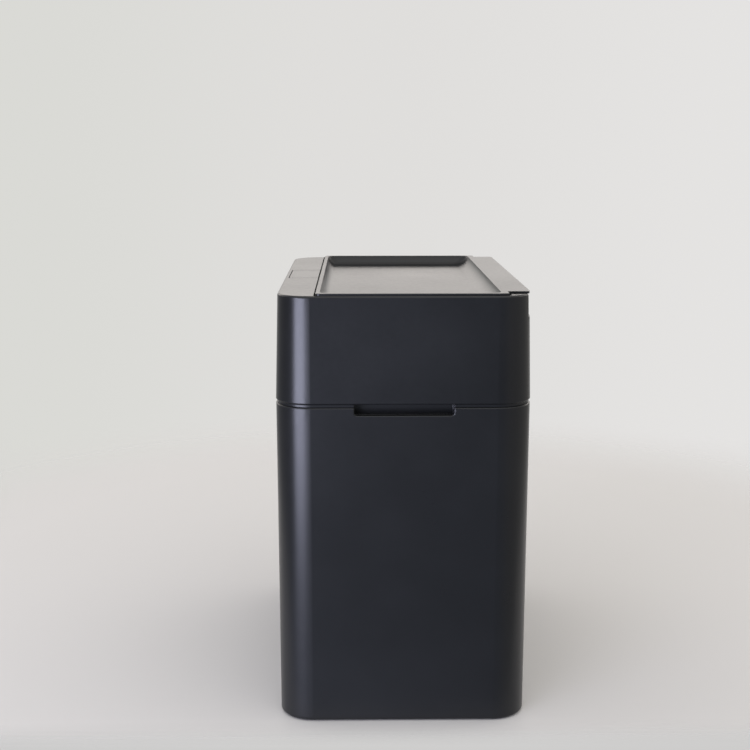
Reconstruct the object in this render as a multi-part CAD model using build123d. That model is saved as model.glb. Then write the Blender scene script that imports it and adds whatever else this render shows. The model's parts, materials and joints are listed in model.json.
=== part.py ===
"""Slim push-and-pedal trash can: a drafted body, a lift-off upper casing with a push strip, and a tray lid.

Millimetres and degrees. X runs along the long side, Y from the front (-Y) to the rear (+Y), Z upwards.
The origin lies on the floor under the middle of the can.
"""
import os
from math import acos, asin, atan, atan2, ceil, cos, degrees, pi, radians, sin, sqrt, tan

from build123d import *

# Outline of the whole can
HEIGHT = 419.0  # floor to the top of the casing
SEAM_Z = 314.0  # parting plane between the body and the casing
CASING_LENGTH = 402.0  # casing's lower edge, its widest level, along X
CASING_DEPTH = 244.0  # the same along Y
CASING_DRAFT = 2.6  # inset of each side from the casing's lower edge to its top
RIM_STEP = 0.2  # body rim inside the casing's lower edge, each side
BODY_DRAFT = 1.0  # inset of each side from the body's rim to its lower edge
CORNER_R = 34.0
WALL = 2.2
TOP_WALL = 2.5
CASING_EDGE_R = 2.0
CASING_FOOT_CHAMFER = 0.8  # on the casing's lower edge
BODY_EDGE_R = 3.0

# Fits
SEAT_GAP = 0.3  # between pieces that press on each other in use
SIDE_GAP = 0.5  # beside a piece that slides or turns
RUN_GAP = 0.05  # round a turning pin
TIP_ROUND = 0.45  # round on the tip of a piece that pushes a lever, as a share of its thickness

# Seam: a recessed band sits on the rim and a skirt drops into the body
BAND_HEIGHT = 3.2
BAND_INSET = 1.6
SKIRT_DEPTH = 18.0
SKIRT_WALL = 2.0
FINGER_NOTCH_LENGTH = 94.0
FINGER_NOTCH_DEPTH = 7.5
FINGER_NOTCH_R = 3.0
GRIP_DEPTH = 12.0  # finger pocket behind each notch, from the skirt's outside
GRIP_RISE = 6.0  # roof of the pocket above the casing's lower edge
GRIP_SILL = 2.0  # floor of the pocket below the notch
RIM_CHAMFER = 0.6

# Floor and feet
BODY_EDGE_Z = 0.8  # lower edge of the body's wall above the floor
FLOOR_Z = 5.0  # underside of the body's own floor
FLOOR_WALL = 2.5
FOOT_R = 11.0
FOOT_INSET = 30.0  # centre of a foot from the body's sides
FOOT_CHAMFER = 1.0

# Toe recess in the front of the body
TOE_WIDTH = 124.0
TOE_HEIGHT = 62.0
TOE_DEPTH = 30.0
TOE_BACK_HEIGHT = 30.0  # where the slanted roof meets the back wall
TOE_CORNER_R = 12.0

# Pedal lever
PEDAL_TURN = 15.0
AXLE_R = 2.5
AXLE_Z = 15.0
AXLE_SETBACK = 10.0  # behind the toe recess's back wall
PAD_SIDE_GAP = 4.0
PAD_FRONT_GAP = 0.8  # pad's front edge inside the body's outline
PAD_BACK_GAP = 2.5
PAD_RISE = 8.0  # top of the pad above the axle
PAD_WALL = 4.0
PAD_LIP = 7.0  # height of the pad's front lip
PAD_LIP_WALL = 3.0
PAD_EDGE_R = 1.2
TREAD_COUNT = 4
TREAD_PITCH = 5.0
TREAD_WIDTH = 1.6
TREAD_HEIGHT = 0.8
NECK_WIDTH = 40.0
NECK_HEIGHT = 7.0
HUB_R = 5.5
ARM_LENGTH = 20.0  # axle to the push rod's foot
ARM_WIDTH = 16.0
ARM_TIP_R = 3.0
EAR_WALL = 6.0
EAR_R = 7.0
AXLE_END = 1.5  # axle beyond each ear

# Push rods
ROD_WIDTH = 10.0
ROD_WALL = 4.0
ROD_INSET = 7.3  # centre of the rod behind the casing's front, at its top
ROD_COLLAR_R = 8.0
ROD_COLLAR_HEIGHT = 3.0
ROD_PAD_WIDTH = 14.0
ROD_PAD_DEPTH = 5.0
ROD_PAD_HEIGHT = 3.0
ROD_SPLIT = 8.0  # top of the lower rod below the seam
CRANK_LOW_Z = 54.0
CRANK_HIGH_Z = 100.0
ROD_CLEAR = 2.0  # round the rod inside its cover

# Cover over the pedal mechanism
COVER_WALL = 1.8
HUMP_TOP_Z = 46.0
HUMP_CLEAR = 1.5  # beyond the ends of the axle and the rod's collar
COVER_TOP_GAP = 6.0  # top of the cover below the casing's skirt
COVER_BOSS_R = 4.0
COVER_BOSS_HEIGHT = 13.0

# Small screws
SCREW_R = 1.5
SCREW_HEAD_R = 3.2
SCREW_HEAD_HEIGHT = 2.0
SCREW_LENGTH = 11.0

# Front strip and push button
STRIP_DEPTH = 35.0
STRIP_GAP = 1.5  # between the strip and the lid
STRIP_RETURN = 20.0  # rear wall of the strip, from the top down
BUTTON_WIDTH = 80.0
BUTTON_SETBACK = 4.5  # front edge of the button behind the casing's front
BUTTON_GAP = 0.6
BUTTON_LEG_X = 34.0
BUTTON_LEG_WIDTH = 6.0
BUTTON_LEG_WALL = 3.0
BUTTON_BARB = 1.2

# Latch
LATCH_DROP = 15.0  # pivot below the top
LATCH_FRONT_ARM = 15.0  # pivot to the push rod
LATCH_REAR_ARM = 8.0  # pivot to the button's plunger
LATCH_ARM_R = 2.0
LATCH_HUB_R = 4.5
LATCH_HALF_WIDTH = 21.0
FRONT_ARM_WIDTH = 16.0
HOOK_WIDTH = 20.0
HOOK_WALL = 5.0
HOOK_FRONT = 1.0  # front face of the hook's leg in front of the pivot
HOOK_ENGAGE = 2.0
HOOK_TIP_DROP = 24.0  # hook's lower tip below the pivot
LATCH_PIN_R = 2.0
PLUNGER_WIDTH = 16.0
PLUNGER_WALL = 3.0
HOUSING_DROP = 11.0  # top of the housing's plate below the pivot
HOUSING_WALL = 3.0
HOUSING_HALF_LENGTH = 52.0
HOUSING_SCREW_X = 47.0
HOUSING_BOSS_R = 4.0

# Lid
LID_GAP = 0.9  # between the lid and the casing's end walls
LID_PROUD = 2.0  # top of the lid above the casing's top
LID_WALL = 2.2
LID_CHAMFER = 0.5
LID_CORNER_R = 4.0  # front corners
LID_RIM = 4.0  # flat rim round the tray
LID_REAR_STRIP = 28.5  # flat strip behind the tray
TRAY_DEPTH = 10.5
TRAY_SLOPE = 6.0  # run of the tray's front and end walls
TRAY_REAR_SLOPE = 9.0  # run of its rear wall
TRAY_CORNER_R = 10.0
LID_FRONT_SKIRT = 26.0
LID_SIDE_SKIRT = 14.0
LID_SIDE_SKIRT_END = 36.0  # rear end of the side skirts, from the rear plane
TONGUE_SETBACK = 4.0  # catch tongue behind the lid's front edge
TONGUE_WIDTH = 36.0
TONGUE_WALL = 2.2
TONGUE_SILL = 4.0  # below the slot that takes the hook
TONGUE_SLOT_CLEAR = 2.5  # each side of the hook

# Hinge
LID_TURN = 88.0
HINGE_DROP = 10.0  # axis below the top
HINGE_INSET = 10.0  # axis in front of the rear plane
HINGE_PIN_R = 2.0
HINGE_BARREL_R = 5.5
HINGE_BARREL_LENGTH = 11.0
HINGE_BOSS_LENGTH = 2.5
BLOCK_SIZE = 19.5  # fixed rear corner blocks, along X and Y
BLOCK_HEIGHT = 34.0
BLOCK_EDGE_R = 1.0
LID_BLOCK_GAP = 1.0  # beside a corner block
LID_BLOCK_FRONT_GAP = 2.0  # in front of a corner block
REAR_RECESS = 3.4
REAR_RECESS_HEIGHT = 22.0
GUARD_GAP = 0.5  # between the lid's underside and the rounded guard under it
GUARD_START = -35.0  # the guard's arc, as directions from the hinge axis in the YZ plane
GUARD_END = 150.0
FAN_STEPS = 6  # sides of the fan that cuts the arc out

# Lid damper
GEAR_MODULE = 1.0
SECTOR_TEETH = 16  # teeth that a full circle would have
SECTOR_FIRST = -1  # a tooth before the one in mesh when the lid is shut
PINION_TEETH = 10
PRESSURE_ANGLE = 20.0
ADDENDUM = 0.8  # in modules
DEDENDUM = 1.15
BACKLASH = 0.25
FLANK_STEPS = 4  # straight stretches that a tooth's flank is drawn in
GEAR_WIDTH = 5.0
DAMPER_ANGLE = 247.38  # direction from the hinge axis to the pinion, in the YZ plane
DAMPER_R = 6.5
DAMPER_WIDTH = 6.0
DAMPER_SHAFT_R = 1.5
DAMPER_CHAMFER = 0.8

# Springs
PEDAL_SPRING_R = 6.6
PEDAL_SPRING_WIRE_R = 0.7
PEDAL_SPRING_TURNS = 5
LATCH_SPRING_R = 2.6
LATCH_SPRING_WIRE_R = 0.45
LATCH_SPRING_TURNS = 4
LATCH_SPRING_X = 15.0
LID_SPRING_R = 3.4
LID_SPRING_WIRE_R = 0.6
LID_SPRING_TURNS = 5
LID_SPRING_LENGTH = 9.0
WIRE_SIDES = 6  # sides of the wire's section
COIL_STEPS = 12  # straight stretches in one turn

# Lid bumpers
BUMPER_X = 130.0
BUMPER_R = 4.5
BUMPER_HEIGHT = 2.2
BUMPER_CHAMFER = 0.7
BUMPER_LEDGE_HALF = 9.0
BUMPER_LEDGE_WALL = 2.5

# Levels and planes that follow from the sizes above
TOP_LENGTH = CASING_LENGTH - 2 * CASING_DRAFT
TOP_DEPTH = CASING_DEPTH - 2 * CASING_DRAFT
TOP_R = CORNER_R - CASING_DRAFT
RIM_LENGTH = CASING_LENGTH - 2 * RIM_STEP
RIM_DEPTH = CASING_DEPTH - 2 * RIM_STEP
BODY_LENGTH = RIM_LENGTH - 2 * BODY_DRAFT
BODY_DEPTH = RIM_DEPTH - 2 * BODY_DRAFT
FRONT_Y = -TOP_DEPTH / 2
REAR_Y = TOP_DEPTH / 2
BODY_FRONT_Y = -BODY_DEPTH / 2
FLOOR_TOP_Z = FLOOR_Z + FLOOR_WALL
BAND_Z = SEAM_Z + BAND_HEIGHT
SKIRT_Z = SEAM_Z - SKIRT_DEPTH
SKIRT_INSET = WALL + SIDE_GAP
SKIRT_X = RIM_LENGTH / 2 - SKIRT_INSET  # outside of the skirt's ends
GRIP_X = SKIRT_X - GRIP_DEPTH
GRIP_Z = SEAM_Z - FINGER_NOTCH_DEPTH - GRIP_SILL
GRIP_TOP_Z = BAND_Z + GRIP_RISE

TOE_BACK_Y = BODY_FRONT_Y + TOE_DEPTH
AXLE_Y = TOE_BACK_Y + AXLE_SETBACK
EAR_INNER_X = NECK_WIDTH / 2 + SIDE_GAP
EAR_OUTER_X = EAR_INNER_X + EAR_WALL
AXLE_HALF = EAR_OUTER_X + AXLE_END
PAD_TOP_Z = AXLE_Z + PAD_RISE
ARM_TIP_Y = AXLE_Y + ARM_LENGTH
ROD_FOOT_Z = AXLE_Z + ARM_TIP_R + SEAT_GAP
ROD_LIFT = ARM_LENGTH * radians(PEDAL_TURN)

ROD_Y = FRONT_Y + ROD_INSET
LOWER_ROD_TOP_Z = SEAM_Z - ROD_SPLIT
LATCH_Y = ROD_Y + LATCH_FRONT_ARM
LATCH_Z = HEIGHT - LATCH_DROP
UPPER_ROD_TOP_Z = LATCH_Z - LATCH_ARM_R - SEAT_GAP
LATCH_TURN = degrees(asin(ROD_LIFT / LATCH_FRONT_ARM))
BUTTON_DROP = LATCH_REAR_ARM * sin(radians(LATCH_TURN))
PLUNGER_Y = LATCH_Y + LATCH_REAR_ARM
HOUSING_TOP_Z = LATCH_Z - HOUSING_DROP
HOUSING_Z = HOUSING_TOP_Z - HOUSING_WALL
CHEEK_INNER_X = LATCH_HALF_WIDTH + SIDE_GAP
CHEEK_OUTER_X = CHEEK_INNER_X + HOUSING_WALL

STRIP_REAR_Y = FRONT_Y + STRIP_DEPTH
RETURN_Z = HEIGHT - STRIP_RETURN
UNDER_TOP_Z = HEIGHT - TOP_WALL
BUTTON_FRONT_Y = FRONT_Y + BUTTON_SETBACK

LID_FRONT_Y = STRIP_REAR_Y + STRIP_GAP
LID_HALF = TOP_LENGTH / 2 - WALL - LID_GAP
LID_TOP_Z = HEIGHT + LID_PROUD
LID_UNDER_Z = LID_TOP_Z - LID_WALL
LID_PLATE_Z = LID_TOP_Z - LID_WALL / 2  # middle of the lid's plate
TONGUE_Y = LID_FRONT_Y + TONGUE_SETBACK
HOOK_REACH = TONGUE_Y + HOOK_ENGAGE - LATCH_Y
HOOK_R = sqrt(HOOK_REACH**2 + HOOK_TIP_DROP**2)
TONGUE_FACE = TONGUE_Y - LATCH_Y
SILL_Z = LATCH_Z - sqrt(HOOK_R**2 - TONGUE_FACE**2) - SEAT_GAP
SLOT_TOP_Z = LATCH_Z - sqrt((HOOK_R - HOOK_WALL) ** 2 - HOOK_REACH**2) + 2 * SIDE_GAP
TONGUE_Z = SILL_Z - TONGUE_SILL

HINGE_Y = REAR_Y - HINGE_INSET
HINGE_Z = HEIGHT - HINGE_DROP
BLOCK_X = TOP_LENGTH / 2 - BLOCK_SIZE
BLOCK_Y = REAR_Y - BLOCK_SIZE
BOSS_X = BLOCK_X - HINGE_BOSS_LENGTH
BARREL_OUTER_X = BOSS_X - SIDE_GAP
BARREL_INNER_X = BARREL_OUTER_X - HINGE_BARREL_LENGTH
SPRING_OUTER_X = BARREL_INNER_X - SIDE_GAP
GUARD_X = SPRING_OUTER_X - LID_SPRING_LENGTH - 2 * SIDE_GAP
GUARD_R = LID_UNDER_Z - HINGE_Z - GUARD_GAP
RECESS_Z = HEIGHT - REAR_RECESS_HEIGHT

SECTOR_LAST = ceil(LID_TURN * SECTOR_TEETH / 360)  # tooth in mesh when the lid is open
SECTOR_R = GEAR_MODULE * SECTOR_TEETH / 2
PINION_R = GEAR_MODULE * PINION_TEETH / 2
PINION_Y = HINGE_Y + (SECTOR_R + PINION_R) * cos(radians(DAMPER_ANGLE))
PINION_Z = HINGE_Z + (SECTOR_R + PINION_R) * sin(radians(DAMPER_ANGLE))
SOCKET_X = BLOCK_X - DAMPER_WIDTH / 2  # end of the damper's socket for the pinion's shaft

COVER_REAR_Y = ARM_TIP_Y + ROD_COLLAR_R + HUMP_CLEAR + COVER_WALL
HUMP_HALF = AXLE_HALF + HUMP_CLEAR + COVER_WALL
SPINE_HALF = ROD_WIDTH / 2 + ROD_CLEAR + COVER_WALL
COVER_TOP_Z = SKIRT_Z - COVER_TOP_GAP
COVER_SCREW_X = HUMP_HALF - COVER_BOSS_R
COVER_SCREW_Y = COVER_REAR_Y - COVER_BOSS_R

BUMPER_Z = HEIGHT - LID_FRONT_SKIRT - SEAT_GAP - BUMPER_HEIGHT
BUMPER_Y = STRIP_REAR_Y + BUMPER_R + SEAT_GAP

FAR = 1000.0  # longer than anything in the can, for cutting


def block(x0, x1, y0, y1, z0, z1):
    """Box between two corners."""
    return Pos((x0 + x1) / 2, (y0 + y1) / 2, (z0 + z1) / 2) * Box(x1 - x0, y1 - y0, z1 - z0)


def level(z0, z1):
    """Everything between two heights."""
    return block(-FAR, FAR, -FAR, FAR, z0, z1)


def round_x(x0, x1, y, z, r):
    """Cylinder along X."""
    return extrude(Plane.YZ.offset(x0) * Pos(y, z) * Circle(r), x1 - x0)


def round_z(x, y, z0, z1, r):
    """Cylinder along Z."""
    return Pos(x, y, z0) * Cylinder(r, z1 - z0, align=(Align.CENTER, Align.CENTER, Align.MIN))


def across(profile, half):
    """Profile drawn in Y and Z, extruded by half to each side along X."""
    return extrude(Plane.YZ * profile, half, both=True)


def drafted(length, depth, radius, z_from, z_to, draft):
    """Rounded block that loses draft on each side on its way from z_from to z_to."""
    face = Pos(0, 0, z_from) * RectangleRounded(length, depth, radius)
    return extrude(face, z_to - z_from, taper=degrees(atan(draft / abs(z_to - z_from))))


def straight(length, depth, radius, z0, z1):
    """Rounded block with upright sides."""
    return extrude(Pos(0, 0, z0) * RectangleRounded(length, depth, radius), z1 - z0)


def screw(x, y, z):
    """Pan-head screw pointing up, with its head's underside at z."""
    head = round_z(x, y, z - SCREW_HEAD_HEIGHT, z, SCREW_HEAD_R)
    head = chamfer(head.edges().sort_by(Axis.Z)[0], SCREW_HEAD_HEIGHT / 2)
    return head + round_z(x, y, z, z + SCREW_LENGTH, SCREW_R)


def coil(radius, length, turns, wire_r, start_leg=0, end_leg=0):
    """Helical spring along Z within the stated length, with straight legs off its two ends."""
    helix = Helix((length - 2 * wire_r) / turns, length - 2 * wire_r, radius, center=(0, 0, wire_r))
    steps = turns * COIL_STEPS
    stations = [(helix @ (i / steps), helix % (i / steps)) for i in range(steps + 1)]
    if start_leg:
        stations.insert(0, (helix @ 0 - helix % 0 * start_leg, helix % 0))
    if end_leg:
        stations.append((helix @ 1 + helix % 1 * end_leg, helix % 1))
    section = RegularPolygon(wire_r, WIRE_SIDES)
    sections = [Plane(place, x_dir=(0, 0, 1), z_dir=along) * section for place, along in stations]
    return loft(sections, ruled=True)


# Body
def body_cavity():
    """Space inside the body's walls, above its floor."""
    inner_r = CORNER_R - RIM_STEP - WALL
    inner = drafted(RIM_LENGTH - 2 * WALL, RIM_DEPTH - 2 * WALL, inner_r, SEAM_Z, BODY_EDGE_Z, BODY_DRAFT)
    return inner & level(FLOOR_TOP_Z, FAR)


def toe_void(grow):
    """Toe recess, or with grow the outside of the wall round it."""
    top = TOE_HEIGHT + grow
    back = TOE_BACK_Y + grow
    rise = atan2(TOE_HEIGHT - TOE_BACK_HEIGHT, TOE_DEPTH)
    slope = Polygon(
        (-FAR, -FAR),
        (back, -FAR),
        (back, TOE_BACK_HEIGHT + grow * tan((pi / 2 - rise) / 2)),
        (BODY_FRONT_Y, TOE_HEIGHT + grow / cos(rise)),
        (-FAR, TOE_HEIGHT + grow / cos(rise)),
        align=None,
    )
    half = TOE_WIDTH / 2 + grow
    arch = Plane.XZ * Pos(0, (top - FAR) / 2) * RectangleRounded(2 * half, top + FAR, TOE_CORNER_R + grow)
    return across(slope, FAR) & extrude(arch, FAR, both=True)


def pedal_ear(side):
    """Ear on the body's floor that carries one end of the pedal axle."""
    profile = Pos(AXLE_Y, AXLE_Z) * Circle(EAR_R)
    profile += Pos(AXLE_Y, (AXLE_Z + FLOOR_Z) / 2) * Rectangle(2 * EAR_R, AXLE_Z - FLOOR_Z)
    profile -= Pos(AXLE_Y, AXLE_Z) * Circle(AXLE_R)
    x0 = EAR_INNER_X if side > 0 else -EAR_OUTER_X
    ear = extrude(Plane.YZ.offset(x0) * profile, EAR_WALL)
    return ear & level(FLOOR_Z + FLOOR_WALL / 2, FAR)


def body_bucket():
    outer = drafted(RIM_LENGTH, RIM_DEPTH, CORNER_R - RIM_STEP, SEAM_Z, BODY_EDGE_Z, BODY_DRAFT)
    outer = fillet(outer.faces().sort_by(Axis.Z)[0].edges(), BODY_EDGE_R)
    outer = chamfer(outer.faces().sort_by(Axis.Z)[-1].edges(), RIM_CHAMFER)
    cavity = body_cavity()
    below = straight(
        BODY_LENGTH - 2 * WALL - 2 * BODY_EDGE_R,
        BODY_DEPTH - 2 * WALL - 2 * BODY_EDGE_R,
        CORNER_R - WALL - BODY_EDGE_R,
        -FAR,
        FLOOR_Z,
    )
    toe_wall = toe_void(WALL) & (cavity + below) & level(BODY_EDGE_Z, FAR)
    shell = outer - cavity - below + toe_wall
    for side in (-1, 1):
        shell += pedal_ear(side)
        notch = Plane.YZ * Pos(0, SEAM_Z) * RectangleRounded(
            FINGER_NOTCH_LENGTH, 2 * FINGER_NOTCH_DEPTH, FINGER_NOTCH_R
        )
        shell -= extrude(notch, side * FAR)
        shell -= round_z(side * COVER_SCREW_X, COVER_SCREW_Y, -FAR, FLOOR_TOP_Z, SCREW_R)
    shell -= toe_void(0)
    return shell - block(
        -EAR_INNER_X, EAR_INNER_X, TOE_BACK_Y - WALL, TOE_BACK_Y + 2 * WALL, FLOOR_TOP_Z, PAD_TOP_Z
    )


def foot(x_side, y_side):
    """Rubber foot under one corner of the body's floor."""
    x = x_side * (BODY_LENGTH / 2 - FOOT_INSET)
    y = y_side * (BODY_DEPTH / 2 - FOOT_INSET)
    pad = round_z(x, y, 0, FLOOR_Z, FOOT_R)
    return chamfer(pad.edges().sort_by(Axis.Z)[0], FOOT_CHAMFER)


# Pedal and push rods
def pedal_lever():
    half = TOE_WIDTH / 2 - PAD_SIDE_GAP
    front = BODY_FRONT_Y + PAD_FRONT_GAP
    back = TOE_BACK_Y - PAD_BACK_GAP
    pad_profile = Polygon(
        (front, PAD_TOP_Z),
        (front, PAD_TOP_Z - PAD_LIP),
        (front + PAD_LIP_WALL, PAD_TOP_Z - PAD_LIP),
        (front + PAD_LIP_WALL, PAD_TOP_Z - PAD_WALL),
        (back, PAD_TOP_Z - PAD_WALL),
        (back, PAD_TOP_Z),
        align=None,
    )
    pad = across(pad_profile, half)
    upright = pad.edges().filter_by(Axis.Z).group_by(Axis.Y)[0]
    pad = fillet(upright, PAD_LIP_WALL - WALL / 2)
    pad = fillet(pad.faces().sort_by(Axis.Z)[-1].edges().group_by(Axis.Y)[0], PAD_EDGE_R)
    treads_y = (front + back) / 2 - TREAD_PITCH * (TREAD_COUNT - 1) / 2
    for i in range(TREAD_COUNT):
        y = treads_y + i * TREAD_PITCH
        ridge = block(
            -half + 2 * PAD_SIDE_GAP, half - 2 * PAD_SIDE_GAP,
            y - TREAD_WIDTH / 2, y + TREAD_WIDTH / 2,
            PAD_TOP_Z - PAD_WALL / 2, PAD_TOP_Z + TREAD_HEIGHT,
        )
        pad += fillet(ridge.edges().filter_by(Axis.X).group_by(Axis.Z)[-1], TREAD_WIDTH / 3)
    neck_top = PAD_TOP_Z - PAD_WALL / 2
    neck = Polygon(
        (back - PAD_WALL, neck_top),
        (back - PAD_WALL, neck_top - PAD_WALL),
        (AXLE_Y, AXLE_Z - NECK_HEIGHT / 2),
        (AXLE_Y, AXLE_Z + NECK_HEIGHT / 2),
        (back, neck_top),
        align=None,
    )
    lever = pad + across(neck, NECK_WIDTH / 2)
    lever += round_x(-NECK_WIDTH / 2, NECK_WIDTH / 2, AXLE_Y, AXLE_Z, HUB_R)
    arm = Pos(AXLE_Y + ARM_LENGTH / 2, AXLE_Z) * Rectangle(ARM_LENGTH, 2 * ARM_TIP_R)
    arm += Pos(ARM_TIP_Y, AXLE_Z) * Circle(ARM_TIP_R)
    lever += across(arm, ARM_WIDTH / 2)
    return lever - round_x(-FAR, FAR, AXLE_Y, AXLE_Z, AXLE_R + RUN_GAP)


def pedal_axle():
    return round_x(-AXLE_HALF, AXLE_HALF, AXLE_Y, AXLE_Z, AXLE_R)


def lower_push_rod():
    route = Polyline(
        (ARM_TIP_Y, ROD_FOOT_Z),
        (ARM_TIP_Y, CRANK_LOW_Z),
        (ROD_Y, CRANK_HIGH_Z),
        (ROD_Y, LOWER_ROD_TOP_Z),
    )
    rod = across(trace(route, ROD_WALL), ROD_WIDTH / 2) & level(ROD_FOOT_Z, LOWER_ROD_TOP_Z)
    rod += round_z(0, ARM_TIP_Y, ROD_FOOT_Z, ROD_FOOT_Z + ROD_COLLAR_HEIGHT, ROD_COLLAR_R)
    return rod + rod_pad(LOWER_ROD_TOP_Z - ROD_PAD_HEIGHT)


def rod_pad(z):
    """Broad end where one rod presses on the next."""
    return Pos(0, ROD_Y, z + ROD_PAD_HEIGHT / 2) * Box(ROD_PAD_WIDTH, ROD_PAD_DEPTH, ROD_PAD_HEIGHT)


def pedal_spring():
    low = ROD_FOOT_Z + ROD_COLLAR_HEIGHT
    spring = coil(PEDAL_SPRING_R, HUMP_TOP_Z - COVER_WALL - low, PEDAL_SPRING_TURNS, PEDAL_SPRING_WIRE_R)
    return Pos(0, ARM_TIP_Y, low) * spring


def upper_push_rod():
    rod = block(
        -ROD_WIDTH / 2, ROD_WIDTH / 2, ROD_Y - ROD_WALL / 2, ROD_Y + ROD_WALL / 2,
        LOWER_ROD_TOP_Z + SEAT_GAP, UPPER_ROD_TOP_Z,
    )
    rod = fillet(rod.edges().filter_by(Axis.X).group_by(Axis.Z)[-1], ROD_WALL * TIP_ROUND)
    return rod + rod_pad(HOUSING_TOP_Z + SEAT_GAP) + rod_pad(LOWER_ROD_TOP_Z + SEAT_GAP)


def rod_hole(y, z0, z1):
    """Guide hole for a push rod that stands at y."""
    half_x = ROD_WIDTH / 2 + SEAT_GAP
    half_y = ROD_WALL / 2 + SEAT_GAP
    return block(-half_x, half_x, y - half_y, y + half_y, z0, z1)


def cover_profile(wall):
    """Side outline of the cover, or with wall of the space inside it."""
    rear = COVER_REAR_Y - wall
    spine = ROD_Y + ROD_WALL / 2 + ROD_CLEAR + COVER_WALL - wall
    rise = (CRANK_HIGH_Z - CRANK_LOW_Z) / (ARM_TIP_Y - ROD_Y)
    over = ROD_LIFT + ROD_WALL + ROD_CLEAR + COVER_WALL - wall * sqrt(1 + rise**2)
    return Polygon(
        (-FAR, -FAR),
        (rear, -FAR),
        (rear, CRANK_LOW_Z + over + rise * (ARM_TIP_Y - rear)),
        (spine, CRANK_LOW_Z + over + rise * (ARM_TIP_Y - spine)),
        (spine, COVER_TOP_Z - wall),
        (-FAR, COVER_TOP_Z - wall),
        align=None,
    )


def mechanism_cover():
    outline = cover_profile(0)
    inside = cover_profile(COVER_WALL)
    cover = (across(outline, HUMP_HALF) & level(-FAR, HUMP_TOP_Z)) + across(outline, SPINE_HALF)
    cover -= across(inside, HUMP_HALF - COVER_WALL) & level(-FAR, HUMP_TOP_Z - COVER_WALL)
    cover -= across(inside, SPINE_HALF - COVER_WALL) & level(HUMP_TOP_Z, FAR)
    boss_z = FLOOR_TOP_Z + COVER_BOSS_HEIGHT
    for side in (-1, 1):
        x = side * COVER_SCREW_X
        cover += round_z(x, COVER_SCREW_Y, FLOOR_TOP_Z, boss_z, COVER_BOSS_R)
        cover -= round_z(x, COVER_SCREW_Y, FLOOR_TOP_Z, FLOOR_Z + SCREW_LENGTH, SCREW_R)
    cover = (cover & body_cavity()) - toe_void(WALL)
    cover -= rod_hole(ARM_TIP_Y, HUMP_TOP_Z - 2 * COVER_WALL, HUMP_TOP_Z + COVER_WALL)
    return cover - rod_hole(ROD_Y, COVER_TOP_Z - 2 * COVER_WALL, FAR)


def cover_screws():
    return Compound(children=[screw(side * COVER_SCREW_X, COVER_SCREW_Y, FLOOR_Z) for side in (-1, 1)])


# Upper casing
def casing_outer():
    outer = drafted(CASING_LENGTH, CASING_DEPTH, CORNER_R, BAND_Z, HEIGHT, CASING_DRAFT)
    outer = chamfer(outer.faces().sort_by(Axis.Z)[0].edges(), CASING_FOOT_CHAMFER)
    return fillet(outer.faces().sort_by(Axis.Z)[-1].edges(), CASING_EDGE_R)


def casing_inner():
    """Space inside the casing's walls."""
    inner_r = CORNER_R - WALL
    return drafted(CASING_LENGTH - 2 * WALL, CASING_DEPTH - 2 * WALL, inner_r, BAND_Z, HEIGHT, CASING_DRAFT)


def corner_block(side, outer, inner):
    """Fixed rear corner that carries one hinge pin."""
    x0, x1 = (BLOCK_X, FAR) if side > 0 else (-FAR, -BLOCK_X)
    low = HEIGHT - BLOCK_HEIGHT
    solid = outer & block(x0, x1, BLOCK_Y, FAR, low, FAR)
    upright = solid.edges().filter_by(Axis.Z).sort_by(Axis.Y)[0]
    solid = fillet(upright, BLOCK_EDGE_R)
    hx0, hx1 = (BLOCK_X + WALL, FAR) if side > 0 else (-FAR, -BLOCK_X - WALL)
    solid -= inner & block(hx0, hx1, BLOCK_Y + WALL, FAR, -FAR, UNDER_TOP_Z)
    bx0, bx1 = (BOSS_X, BLOCK_X) if side > 0 else (-BLOCK_X, -BOSS_X)
    solid += round_x(bx0, bx1, HINGE_Y, HINGE_Z, HINGE_BARREL_R)
    px0, px1 = (BOSS_X, BLOCK_X + WALL) if side > 0 else (-BLOCK_X - WALL, -BOSS_X)
    return solid - round_x(px0, px1, HINGE_Y, HINGE_Z, HINGE_PIN_R)


def rear_recess():
    """Space that the lid's rear lip swings through, cut out of the rear wall."""
    return block(-BLOCK_X, BLOCK_X, BLOCK_Y, FAR, RECESS_Z, FAR)


def rear_guard():
    """Rounded guard on top of the recessed rear wall, about the hinge axis."""
    ring = Pos(HINGE_Y, HINGE_Z) * (Circle(GUARD_R) - Circle(GUARD_R - WALL))
    fan = [(0, 0)]
    for i in range(FAN_STEPS + 1):
        angle = radians(GUARD_START + (GUARD_END - GUARD_START) * i / FAN_STEPS)
        fan.append((2 * GUARD_R * cos(angle), 2 * GUARD_R * sin(angle)))
    return across(ring & (Pos(HINGE_Y, HINGE_Z) * Polygon(*fan, align=None)), GUARD_X)


def grip_pocket(grow):
    """Two pockets for the fingers that lift the casing, or with grow the outside of their walls."""
    half = FINGER_NOTCH_LENGTH / 2 + grow
    pocket = block(GRIP_X - grow, FAR, -half, half, GRIP_Z - grow, GRIP_TOP_Z + grow)
    return pocket + mirror(pocket, Plane.YZ)


def bumper_ledge(side):
    """Bracket on the strip's rear wall that carries one lid bumper."""
    x = side * BUMPER_X
    x0, x1 = x - BUMPER_LEDGE_HALF, x + BUMPER_LEDGE_HALF
    web = block(x0, x1, STRIP_REAR_Y - WALL, STRIP_REAR_Y, BUMPER_Z - BUMPER_LEDGE_WALL, RETURN_Z + WALL)
    ledge_end = BUMPER_Y + BUMPER_R + WALL / 2
    return web + block(x0, x1, STRIP_REAR_Y - WALL, ledge_end, BUMPER_Z - BUMPER_LEDGE_WALL, BUMPER_Z)


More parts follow.
